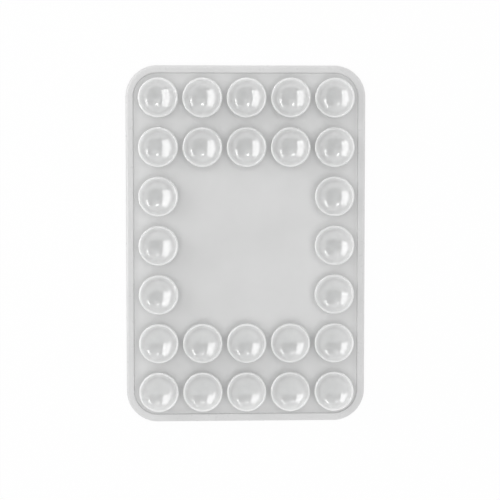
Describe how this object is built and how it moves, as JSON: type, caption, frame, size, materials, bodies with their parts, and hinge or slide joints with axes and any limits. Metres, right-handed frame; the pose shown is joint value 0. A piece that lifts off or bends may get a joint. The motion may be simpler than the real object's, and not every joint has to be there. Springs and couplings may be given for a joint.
{
  "type": "suction cup phone holder",
  "caption": "Thin rounded pad that sticks to a phone's back, with small milky suction cups round a plain panel, to hold the phone on glass or mirrors.",
  "frame": {"origin": "middle of the underside, on the surface that the liner lies on", "axes": "+Z out through the suction cups, +Y along the length towards the top end, +X across the width to the right when seen from the cups' side"},
  "size_m": [0.057, 0.085, 0.0079],
  "materials": {
    "tray_plastic": "satin translucent grey",
    "mat_silicone": "satin translucent grey",
    "cup_silicone": "glossy milky translucent silicone",
    "pad_foam": "fine closed-cell foam, tacky on both faces",
    "liner_paper": "smooth siliconised paper"
  },
  "bodies": {
    "plate": {"tray": "tray_plastic", "cup_mat": "mat_silicone", "adhesive_pad": "pad_foam"},
    "liner": {"release_liner": "liner_paper"},
    "cup_r1c1": {"suction_cup_r1c1": "cup_silicone"},
    "cup_r1c2": {"suction_cup_r1c2": "cup_silicone"},
    "cup_r1c3": {"suction_cup_r1c3": "cup_silicone"},
    "cup_r1c4": {"suction_cup_r1c4": "cup_silicone"},
    "cup_r1c5": {"suction_cup_r1c5": "cup_silicone"},
    "cup_r2c1": {"suction_cup_r2c1": "cup_silicone"},
    "cup_r2c2": {"suction_cup_r2c2": "cup_silicone"},
    "cup_r2c3": {"suction_cup_r2c3": "cup_silicone"},
    "cup_r2c4": {"suction_cup_r2c4": "cup_silicone"},
    "cup_r2c5": {"suction_cup_r2c5": "cup_silicone"},
    "cup_r3c1": {"suction_cup_r3c1": "cup_silicone"},
    "cup_r3c5": {"suction_cup_r3c5": "cup_silicone"},
    "cup_r4c1": {"suction_cup_r4c1": "cup_silicone"},
    "cup_r4c5": {"suction_cup_r4c5": "cup_silicone"},
    "cup_r5c1": {"suction_cup_r5c1": "cup_silicone"},
    "cup_r5c5": {"suction_cup_r5c5": "cup_silicone"},
    "cup_r6c1": {"suction_cup_r6c1": "cup_silicone"},
    "cup_r6c2": {"suction_cup_r6c2": "cup_silicone"},
    "cup_r6c3": {"suction_cup_r6c3": "cup_silicone"},
    "cup_r6c4": {"suction_cup_r6c4": "cup_silicone"},
    "cup_r6c5": {"suction_cup_r6c5": "cup_silicone"},
    "cup_r7c1": {"suction_cup_r7c1": "cup_silicone"},
    "cup_r7c2": {"suction_cup_r7c2": "cup_silicone"},
    "cup_r7c3": {"suction_cup_r7c3": "cup_silicone"},
    "cup_r7c4": {"suction_cup_r7c4": "cup_silicone"},
    "cup_r7c5": {"suction_cup_r7c5": "cup_silicone"}
  },
  "joints": [
    {"name": "liner_off", "type": "slide", "parent": "plate", "child": "liner", "axis": [0, 0, -1], "range_m": [0, 0.03]},
    {"name": "cup_r1c1_press", "type": "slide", "parent": "plate", "child": "cup_r1c1", "axis": [0, 0, -1], "range_m": [0, 0.0015], "stiffness_N_per_m": 800},
    {"name": "cup_r1c2_press", "type": "slide", "parent": "plate", "child": "cup_r1c2", "axis": [0, 0, -1], "range_m": [0, 0.0015], "stiffness_N_per_m": 800},
    {"name": "cup_r1c3_press", "type": "slide", "parent": "plate", "child": "cup_r1c3", "axis": [0, 0, -1], "range_m": [0, 0.0015], "stiffness_N_per_m": 800},
    {"name": "cup_r1c4_press", "type": "slide", "parent": "plate", "child": "cup_r1c4", "axis": [0, 0, -1], "range_m": [0, 0.0015], "stiffness_N_per_m": 800},
    {"name": "cup_r1c5_press", "type": "slide", "parent": "plate", "child": "cup_r1c5", "axis": [0, 0, -1], "range_m": [0, 0.0015], "stiffness_N_per_m": 800},
    {"name": "cup_r2c1_press", "type": "slide", "parent": "plate", "child": "cup_r2c1", "axis": [0, 0, -1], "range_m": [0, 0.0015], "stiffness_N_per_m": 800},
    {"name": "cup_r2c2_press", "type": "slide", "parent": "plate", "child": "cup_r2c2", "axis": [0, 0, -1], "range_m": [0, 0.0015], "stiffness_N_per_m": 800},
    {"name": "cup_r2c3_press", "type": "slide", "parent": "plate", "child": "cup_r2c3", "axis": [0, 0, -1], "range_m": [0, 0.0015], "stiffness_N_per_m": 800},
    {"name": "cup_r2c4_press", "type": "slide", "parent": "plate", "child": "cup_r2c4", "axis": [0, 0, -1], "range_m": [0, 0.0015], "stiffness_N_per_m": 800},
    {"name": "cup_r2c5_press", "type": "slide", "parent": "plate", "child": "cup_r2c5", "axis": [0, 0, -1], "range_m": [0, 0.0015], "stiffness_N_per_m": 800},
    {"name": "cup_r3c1_press", "type": "slide", "parent": "plate", "child": "cup_r3c1", "axis": [0, 0, -1], "range_m": [0, 0.0015], "stiffness_N_per_m": 800},
    {"name": "cup_r3c5_press", "type": "slide", "parent": "plate", "child": "cup_r3c5", "axis": [0, 0, -1], "range_m": [0, 0.0015], "stiffness_N_per_m": 800},
    {"name": "cup_r4c1_press", "type": "slide", "parent": "plate", "child": "cup_r4c1", "axis": [0, 0, -1], "range_m": [0, 0.0015], "stiffness_N_per_m": 800},
    {"name": "cup_r4c5_press", "type": "slide", "parent": "plate", "child": "cup_r4c5", "axis": [0, 0, -1], "range_m": [0, 0.0015], "stiffness_N_per_m": 800},
    {"name": "cup_r5c1_press", "type": "slide", "parent": "plate", "child": "cup_r5c1", "axis": [0, 0, -1], "range_m": [0, 0.0015], "stiffness_N_per_m": 800},
    {"name": "cup_r5c5_press", "type": "slide", "parent": "plate", "child": "cup_r5c5", "axis": [0, 0, -1], "range_m": [0, 0.0015], "stiffness_N_per_m": 800},
    {"name": "cup_r6c1_press", "type": "slide", "parent": "plate", "child": "cup_r6c1", "axis": [0, 0, -1], "range_m": [0, 0.0015], "stiffness_N_per_m": 800},
    {"name": "cup_r6c2_press", "type": "slide", "parent": "plate", "child": "cup_r6c2", "axis": [0, 0, -1], "range_m": [0, 0.0015], "stiffness_N_per_m": 800},
    {"name": "cup_r6c3_press", "type": "slide", "parent": "plate", "child": "cup_r6c3", "axis": [0, 0, -1], "range_m": [0, 0.0015], "stiffness_N_per_m": 800},
    {"name": "cup_r6c4_press", "type": "slide", "parent": "plate", "child": "cup_r6c4", "axis": [0, 0, -1], "range_m": [0, 0.0015], "stiffness_N_per_m": 800},
    {"name": "cup_r6c5_press", "type": "slide", "parent": "plate", "child": "cup_r6c5", "axis": [0, 0, -1], "range_m": [0, 0.0015], "stiffness_N_per_m": 800},
    {"name": "cup_r7c1_press", "type": "slide", "parent": "plate", "child": "cup_r7c1", "axis": [0, 0, -1], "range_m": [0, 0.0015], "stiffness_N_per_m": 800},
    {"name": "cup_r7c2_press", "type": "slide", "parent": "plate", "child": "cup_r7c2", "axis": [0, 0, -1], "range_m": [0, 0.0015], "stiffness_N_per_m": 800},
    {"name": "cup_r7c3_press", "type": "slide", "parent": "plate", "child": "cup_r7c3", "axis": [0, 0, -1], "range_m": [0, 0.0015], "stiffness_N_per_m": 800},
    {"name": "cup_r7c4_press", "type": "slide", "parent": "plate", "child": "cup_r7c4", "axis": [0, 0, -1], "range_m": [0, 0.0015], "stiffness_N_per_m": 800},
    {"name": "cup_r7c5_press", "type": "slide", "parent": "plate", "child": "cup_r7c5", "axis": [0, 0, -1], "range_m": [0, 0.0015], "stiffness_N_per_m": 800}
  ]
}
